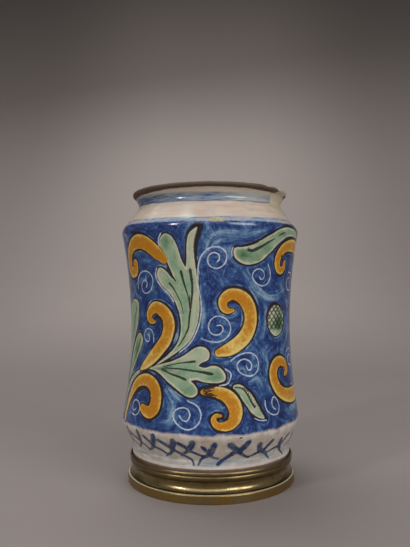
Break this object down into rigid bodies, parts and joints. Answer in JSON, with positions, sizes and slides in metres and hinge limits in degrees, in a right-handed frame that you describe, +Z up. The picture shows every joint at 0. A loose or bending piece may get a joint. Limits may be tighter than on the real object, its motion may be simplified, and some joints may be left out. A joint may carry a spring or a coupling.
{
  "type": "albarello",
  "caption": "Waisted drug jar of tin-glazed earthenware, painted with scrolling foliage on blue, standing in a turned brass ring stand with cork seats; the jar lifts out.",
  "frame": {"origin": "on the jar's axis, on the table that the stand rests on", "axes": "+Z up along the jar's axis; -Y is the side that faces the camera"},
  "size_m": [0.1504, 0.1504, 0.2399],
  "materials": {
    "painted_glaze": "glossy white tin glaze painted in blue, green, ochre and black, worn at the rim",
    "brass": "turned brass with an aged, satin, olive-brown surface",
    "cork": "fine agglomerated cork sheet, unsealed"
  },
  "bodies": {
    "stand": {"stand_collar": "brass", "stand_plinth": "brass", "seat_ring": "cork", "base_ring": "cork"},
    "jar": {"jar": "painted_glaze"}
  },
  "joints": [
    {"name": "jar_lift", "type": "slide", "parent": "stand", "child": "jar", "axis": [0, 0, 1], "range_m": [0, 0.04]}
  ]
}
